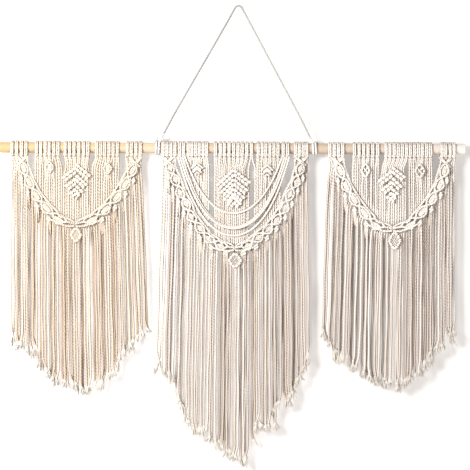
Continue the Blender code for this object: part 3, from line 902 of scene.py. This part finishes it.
bands = {
    "start": 22.0,  # least drop of the first join
    "depth": -12.4,
    "inner": 6.3,  # from the band's middle line to a diamond's inner corner
    "outer": 8.9,  # and to its outer corner
    "shoulder": (0.24, 0.74),  # shares of the length and the full width where a side bends
    "trim": 0.8,
    "fillDepth": -11.1,
    "fillShift": (0.4, -0.4),  # a little high and to the right in its diamond
    "weave": (5.4, 0.34, 4, 2.2, 1.0),  # half width, share of the length, cords, their thickness and tone
    "plait": (4.2, 0.30, 6),  # half width, share of the length and strokes
    "joinDepth": -13.3,
    "edge": 10.2,  # from the joins out to the small knots between the diamonds
    "edgeHalf": 4.6,
    "edgeDepth": -11.4,
    "edgeRows": ((0.0, 1), (3.6, -1)),  # drop and lean of the two rows
    "tails": (-4.0, -1.3, 1.3, 4.0),  # x of the cords that hang out of them
    "tailFall": [(2, -11.6), (6, -10.6), (11, -8.8), (20, -7.0), (32, -4.6)],  # drop and y
    "tailRadii": (1.7, 1.75, 1.7, 1.6, 1.1),
    "tailTones": (0.0, 0.5),
    "crossings": ((-1, -10.8), (1, -12.2)),  # lean and y of the strands that cross above
    "crossed": (-2.9, 0.0, 2.9),
    "crossTones": (0.8, 1.2),
    "rims": (10.0, 8.4),  # from the middle line to the inner rim's two cords
    "rimThick": 2.6,
    "rimDepth": -11.4,
}


def makeBand(name, side, panel, b, k):
    cords = Bundle(70 + len(name) + len(side))
    sign = -1 if side == "left" else 1
    middles = [np.array(p, float) for p in panel["band"][side]]
    tip = np.array([sign * 0.8, panel["tip"] - 1.0])
    first = middles[0] - (middles[1] - middles[0]) / 2
    first[1] = max(first[1], b["start"])
    joins = [first, *[(p + q) / 2 for p, q in zip(middles, middles[1:])]]
    joins.append(middles[-1] + (tip - middles[-1]) * 0.5)

    def out(p, q):
        x, drop = unit(q - p)
        return sign * np.array([drop, -x])

    def spot(p, depth):
        return at(panel, p[0], p[1], depth)

    def row(stops, lean, trim, depth=b["depth"]):
        knotLine(cords, [spot(stop, depth) for stop in stops], k, lean, trim)

    bend, full = b["shoulder"]
    for p, q, c in zip(joins, joins[1:], middles):
        # an oval between two joins, set a little outward
        away = out(p, q)
        for reach, lean in ((b["outer"], 1), (-b["inner"], -1)):
            bulge = away * reach * full
            high, low = p + (q - p) * bend + bulge, q + (p - q) * bend + bulge
            row([p, high, c + away * reach, low, q], lean, b["trim"])
        heart = spot(c + away * ((b["outer"] - b["inner"]) / 2) + b["fillShift"], b["fillDepth"])
        along = spot(q, 0.0) - spot(p, 0.0)
        long = np.linalg.norm(along)
        wide, tall, *rest = b["weave" if name == "centre" else "plait"]
        fill = woven if name == "centre" else braid
        fill(cords, heart, along / long, wide, long * tall, *rest)
    for i, (q, p) in enumerate(zip(joins, joins[1:]), 1):
        away = out(q, p)
        along = unit(spot(p, 0.0) - spot(q, 0.0))
        loop(cords, spot(p, b["joinDepth"]), along, k, 0.0)
        if i == len(joins) - 1 and name != "centre":
            continue
        edge = p + away * b["edge"]
        ahead = np.array([along[0], -along[2]])
        for drop, lean in b["edgeRows"]:
            low = edge + away * drop * 0.4 + (0.0, drop)
            row([low - ahead * b["edgeHalf"], low + ahead * b["edgeHalf"]], lean, 0.0, b["edgeDepth"])
        for shift in b["tails"]:
            tail = [spot(edge + ahead * shift + (0, fall), depth) for fall, depth in b["tailFall"]]
            cords.add(evened(tail, 2.0), b["tailRadii"], sides=6, tone=cords.dice.uniform(*b["tailTones"]))

    # strands cross from the heads into the first diamond
    for lean, depth in b["crossings"]:
        for shift in b["crossed"]:
            line = [
                at(panel, first[0] - lean * (10.0 + shift), 15.0, -8.0),
                at(panel, first[0] - lean * (6.5 + shift * 0.8), first[1] - 6.5, depth + 0.4),
                at(panel, first[0] - lean * shift * 0.75, first[1] - 0.5, depth),
                at(panel, first[0] + lean * (8.0 - shift * 0.7), first[1] + 7.0, -9.6),
            ]
            cords.add(evened(line, 1.8), 1.6, sides=6, tone=cords.dice.uniform(*b["crossTones"]))

    # the smooth rim, from the inner head of the outer run to the tip
    runs = panel["heads"]
    headX = runs[0][1] - 4 if side == "left" else runs[-1][0] + 4
    for n, rim in enumerate(b["rims"]):
        line = [at(panel, headX - sign * n * 3.0, 15.5, -8.0)]
        line.append(at(panel, headX - sign * n * 2.6, 20.0, -10.4))
        stops = [p for pair in zip(middles, joins[1:]) for p in pair]
        for p, q in zip(stops, stops[1:]):
            line.append(spot(p - out(p, q) * rim, b["rimDepth"]))
        line.append(at(panel, sign * 6.0, panel["tip"] - rim * 0.75, b["rimDepth"]))
        line.append(at(panel, -sign * 1.6, panel["tip"] + 1.5 - 2.0 * n, b["rimDepth"]))
        cords.add(evened(line, 1.8), b["rimThick"] / 2, sides=6, tone=1.0)

    # the rows that close the band to its tip
    row([joins[-1], tip], 1, 0.5)
    low = [joins[-2] + out(joins[-2], joins[-1]) * 12.0, joins[-1] + out(middles[-1], tip) * 8.0]
    row([*low, tip + (0.0, 4.5)], -1, 0.5)
    cords.finish(f"knotted_band_{name}_{side}", cottons[name], [f"band_{name}_{side}"])


for name, panel in panels.items():
    for side in ("left", "right"):
        makeBand(name, side, panel, bands, smallKnots)


leaves = {
    "apart": 3.3,  # half way between the two rows of a pair
    "step": 0.5,  # how much the lower row stands over the next pair
}
centreMotif = {
    "leaf": {"apart": 2.5, "step": 0.5},
    "rows": [(-7.5, 9.5, 1.0), (3.0, 7.0, 9.0)],  # like leafRows, from the motif's middle
}


def knotRows(cords, panel, ribX, rows, sign, leaf, k):
    # a double row for each line, slanting down from the rib
    for drop, endX, endDrop in rows:
        rib, end = np.array([ribX, drop], float), np.array([endX, endDrop], float)
        along = unit(end - rib)
        down = np.array([-along[1], along[0]]) * sign
        for shift in (-1, 1):
            # each row starts on the rib's line
            start = rib + down * shift * leaf["apart"]
            start = start - along * (start[0] - ribX) / along[0] - along * 0.5
            stop = end + down * shift * leaf["apart"] - along * (0.6 + 0.6 * shift)
            depth = k["depth"] - shift * leaf["step"] / 2
            knotLine(cords, [at(panel, *start, depth), at(panel, *stop, depth)], k, sign * shift)


def makeLeaf(name, panel, leaf, k):
    cords = Bundle(90 + len(name))
    for side, sign in (("left", -1), ("right", 1)):
        knotRows(cords, panel, panel["rib"], panel["leafRows"][side], sign, leaf, k)
    cords.finish("leaf_knots_" + name, cottons[name], ["leaf_" + name])


def ovalRows(cords, panel, x, drop, wide, tall, k):
    # one row down each side of a pointed oval
    for sign in (-1, 1):
        shape = ((0, -1), (0.62, -0.5), (1, 0), (0.62, 0.5), (0, 1))
        line = [at(panel, x + sign * wide * u, drop + tall * v, k["depth"]) for u, v in shape]
        knotLine(cords, line, k, sign, 0.3)


def makeMotif(name, side, panel, k):
    cords = Bundle(100 + len(name) + len(side))
    x, drop, halfWide, halfTall = panel["motifs"][side]
    if name == "centre":
        for sign in (-1, 1):
            rows = [(drop + a, x + sign * endX, drop + b) for a, endX, b in centreMotif["rows"]]
            knotRows(cords, panel, x, rows, sign, centreMotif["leaf"], k)
    else:
        # a ring with two crossing cords, plaited shut on the left panel
        wide, tall = halfWide - 1.2, halfTall + 0.3
        ovalRows(cords, panel, x, drop, wide, tall, k)
        if name == "left":
            braid(cords, at(panel, x + 0.4, drop, k["depth"] + 1.0), downward, 3.6, tall * 0.6, 4)
        for sign in (-1, 1):
            cross = [
                at(panel, x - sign * wide * 0.6, drop - tall * 0.4, -10.4),
                at(panel, x, drop, -10.9 - sign),
                at(panel, x + sign * wide * 0.6, drop + tall * 0.4, -10.4),
            ]
            cords.add(evened(cross, 1.6), 1.5, sides=6)
    cords.finish(f"motif_knots_{name}_{side}", cottons[name], [f"motif_{name}_{side}"])


def makePendant(name, panel, k):
    cords = Bundle(110 + len(name))
    x, drop, halfWide, halfTall = panel["pendant"]
    wide, tall = halfWide - 1.4, halfTall - 1.2
    ovalRows(cords, panel, x, drop, wide, tall, k)
    # its woven fill takes a darker tone, painted shade inside the oval
    woven(cords, at(panel, x, drop, k["depth"] + 2.2), downward, wide * 0.86, tall * 0.82, 4, 2.3, 0.75)
    cords.finish("pendant_knots_" + name, cottons[name], ["pendant_" + name])


for name, panel in panels.items():
    makeLeaf(name, panel, leaves, knots)
    makePendant(name, panel, pendantKnots)
    for side in ("left", "right"):
        makeMotif(name, side, panel, smallKnots)


pine = {
    # from the left end to the right
    "colours": [
        (0.0, (0.49, 0.335, 0.165)), (0.34, (0.55, 0.44, 0.32)), (0.72, (0.47, 0.375, 0.29)),
        (0.9, (0.60, 0.53, 0.47)), (1.0, (0.75, 0.725, 0.70)),
    ],
    "streak": (0.46, 0.30, 0.17),
    "streakScale": (2.0, 46.0, 46.0),  # per m along and across the dowel
    "grainScale": (3.0, 130.0, 130.0),
    "poreScale": (22.0, 900.0, 900.0),
    "ends": (0.515, 1.124),  # from the frame's x to 0 at the left and 1 at the right
    "bump": 0.0003,
}


def pineFinish(p):
    f = Finish("sanded pine", {"Roughness": 0.6, "Specular IOR Level": 0.35})
    place = f.place()
    grain = f.noise(f.stretched(place, p["grainScale"]), 3.0, 4.0, 0.6)
    wide = f.noise(f.stretched(place, p["streakScale"]), 2.0, 3.0, 0.5)
    pores = f.noise(f.stretched(place, p["poreScale"]), 2.0, 2.0, 0.7)
    side = f.part(place) * p["ends"][1] + p["ends"][0]
    base = f.node("ShaderNodeValToRGB", {"stops": p["colours"]}, {0: side})
    streaks = f.node("ShaderNodeMapRange", {}, {0: wide * 0.6 + grain * 0.4, 1: 0.48, 2: 0.68})
    # they fade over the last quarter
    streaks = streaks * (1.15 - 0.95 * (side * 4.0 - 3.0).clamped())
    colour = f.blend(streaks * 0.6, base, p["streak"])
    colour = f.blend((pores - 0.55).clamped() * 0.8, colour, p["streak"])
    f.plug(colour, f.shader.inputs["Base Color"])
    f.plug(0.5 + 0.25 * grain, f.shader.inputs["Roughness"])
    f.bump(grain * 0.6 + pores * 0.4, p["bump"], 0.6)
    return f.material


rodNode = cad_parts["rod"]
rodNode.data.materials.clear()
rodNode.data.materials.append(pineFinish(pine))
print("dowel finished")


stage = {
    "wallBehind": 0.018,  # m behind the dowel's axis
    "wallColour": (0.66, 0.65, 0.645),
    "wallGlow": 0.42,  # painted light: the backdrop glows, which keeps the shade on it pale
    "glowLeft": (1.0, 0.975, 0.97),
    "glowRight": (0.55, 0.54, 0.535),  # less of that painted glow on the right
    "glowAcross": (0.55, 1.6),  # from the frame's x to 0 at the left and 1 at the right
    "floorDrop": 1.35,
    "floorColour": (0.82, 0.81, 0.80),
    "size": 6.0,
}


def plainFinish(name, colour, glow=0.0):
    f = Finish(name, {"Roughness": 0.95, "Specular IOR Level": 0.1, "Emission Strength": glow})
    f.plug(f.blend(f.noise(f.place(), 2.0) * 0.05, colour, (0.7, 0.7, 0.7)), f.shader.inputs["Base Color"])
    return f


def addPlane(name, material, location, rotation, size):
    mesh = bpy.data.meshes.new(name)
    half = size / 2
    corners = [(-half, -half, 0), (half, -half, 0), (half, half, 0), (-half, half, 0)]
    mesh.from_pydata(corners, [], [(0, 1, 2, 3)])
    mesh.materials.append(material)
    plane = linked(name, mesh)
    plane.location = location
    plane.rotation_euler = rotation
    return plane


def makeStage(s):
    floor = plainFinish("pale floor", s["floorColour"])
    addPlane("floor", floor.material, (0.0, 0.0, -s["floorDrop"]), (0.0, 0.0, 0.0), s["size"])
    # seen from behind, the backdrop lets the view through
    wall = plainFinish("pale backdrop", s["wallColour"], s["wallGlow"])
    across = wall.part(wall.place()) * s["glowAcross"][1] + s["glowAcross"][0]
    glow = wall.blend(across.clamped(), s["glowLeft"], s["glowRight"])
    wall.plug(glow, wall.shader.inputs["Emission Color"])
    behind = wall.node("ShaderNodeNewGeometry", {}, {}, output=6)
    clear = wall.node("ShaderNodeBsdfTransparent", {}, {})
    seen = Wire(wall, wall.shader.outputs[0])
    mixed = wall.node("ShaderNodeMixShader", {}, {0: behind, 1: seen, 2: clear})
    wall.plug(mixed, wall.tree.nodes["Material Output"].inputs["Surface"])
    backdrop = addPlane(
        "backdrop", wall.material, (0.0, s["wallBehind"], s["size"] / 2 - s["floorDrop"]),
        (math.radians(90), 0.0, 0.0), s["size"],
    )
    backdrop.visible_shadow = False


# place and size in m, power in W and colour
lights = {
    "key": ((-1.0, -1.4, -0.05), 0.7, 51.0, (1.0, 0.99, 0.97)),
    "right fill": ((1.5, -1.2, -0.5), 0.8, 9.5, (1.0, 0.94, 0.90)),
    "low fill": ((0.1, -2.4, -1.15), 1.2, 8.0, (1.0, 0.94, 0.90)),
    "back": ((0.6, 2.4, 0.6), 2.0, 8.0, (1.0, 0.99, 0.97)),
}
lightAim = np.array([0.0, 0.0, -0.45])
world = {"colour": (1.0, 0.93, 0.885), "strength": 0.18}


def addLight(name, place, size, power, colour):
    data = bpy.data.lights.new(name, "AREA")
    data.size = size
    data.energy = power
    data.color = colour
    light = linked(name, data)
    light.location = place
    aim = lightAim - np.array(place)
    flat = math.hypot(aim[0], aim[1])
    light.rotation_euler = (math.atan2(flat, -aim[2]), 0.0, math.atan2(-aim[0], aim[1]))


def lightRoom():
    for name, light in lights.items():
        addLight(name, *light)
    room = bpy.data.worlds.new("room")
    room.use_nodes = True
    background = room.node_tree.nodes["Background"]
    background.inputs["Color"].default_value = (*world["colour"], 1.0)
    background.inputs["Strength"].default_value = world["strength"]
    bpy.context.scene.world = room
    bpy.context.scene.view_settings.view_transform = "Standard"


makeStage(stage)
lightRoom()
print("stage and lights set")
